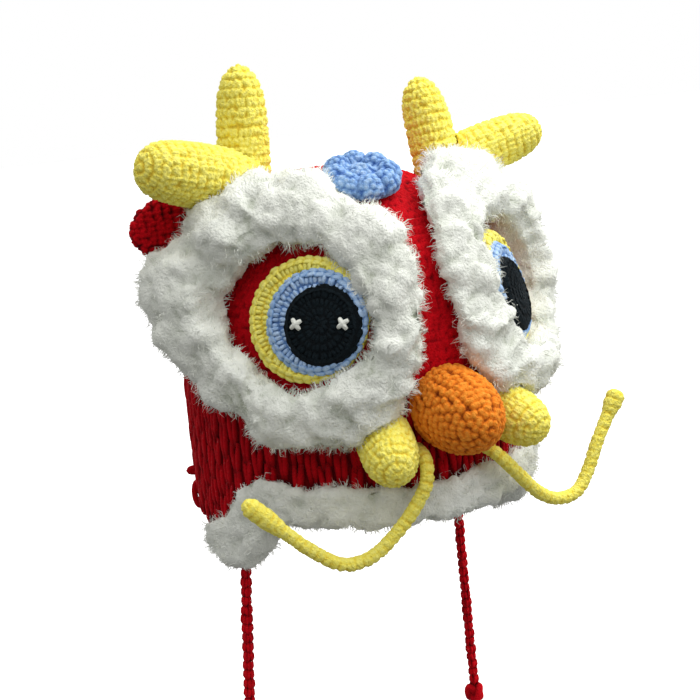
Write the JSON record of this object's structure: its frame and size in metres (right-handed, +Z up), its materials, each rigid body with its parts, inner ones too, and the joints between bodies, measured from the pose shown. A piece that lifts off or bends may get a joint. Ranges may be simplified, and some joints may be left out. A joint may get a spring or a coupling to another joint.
{
  "type": "knitted dragon hat",
  "caption": "Child's knitted dragon hat with crocheted horns, plush-ringed eyes, round nose, tusks, wired whiskers, ear flaps and hanging ties; worn on the head.",
  "frame": {"origin": "centre of the head opening, half way up the plush band at the front of the rim", "axes": "+Z up through the crown, -Y the way the face looks, +X the wearer's left; the plane X=0 halves the face"},
  "size_m": [0.2407, 0.2441, 0.4133],
  "materials": {
    "red_yarn": "chunky knitted red yarn, matt",
    "yellow_yarn": "soft crocheted yellow yarn, matt",
    "blue_yarn": "crocheted light blue yarn, matt",
    "black_yarn": "crocheted black yarn, matt",
    "orange_yarn": "crocheted orange yarn, matt",
    "white_plush": "white plush yarn with a long soft pile"
  },
  "bodies": {
    "root": {"crown": "red_yarn", "rosette": "blue_yarn", "nose": "orange_yarn", "rim_fur": "white_plush", "horn_beam_right": "yellow_yarn", "horn_beam_left": "yellow_yarn", "horn_tine_right": "yellow_yarn", "horn_tine_left": "yellow_yarn", "tusk_right": "yellow_yarn", "tusk_left": "yellow_yarn", "ear_right": "red_yarn", "ear_left": "red_yarn", "eye_fur_right": "white_plush", "eye_fur_left": "white_plush", "whisker_right": "yellow_yarn", "whisker_left": "yellow_yarn", "eye_yellow_right": "yellow_yarn", "eye_yellow_left": "yellow_yarn", "eye_blue_right": "blue_yarn", "eye_blue_left": "blue_yarn", "eye_pupil_right": "black_yarn", "eye_pupil_left": "black_yarn", "tie_right": "red_yarn", "tie_left": "red_yarn", "tie_knot_right": "red_yarn", "tie_knot_left": "red_yarn"}
  },
  "joints": []
}
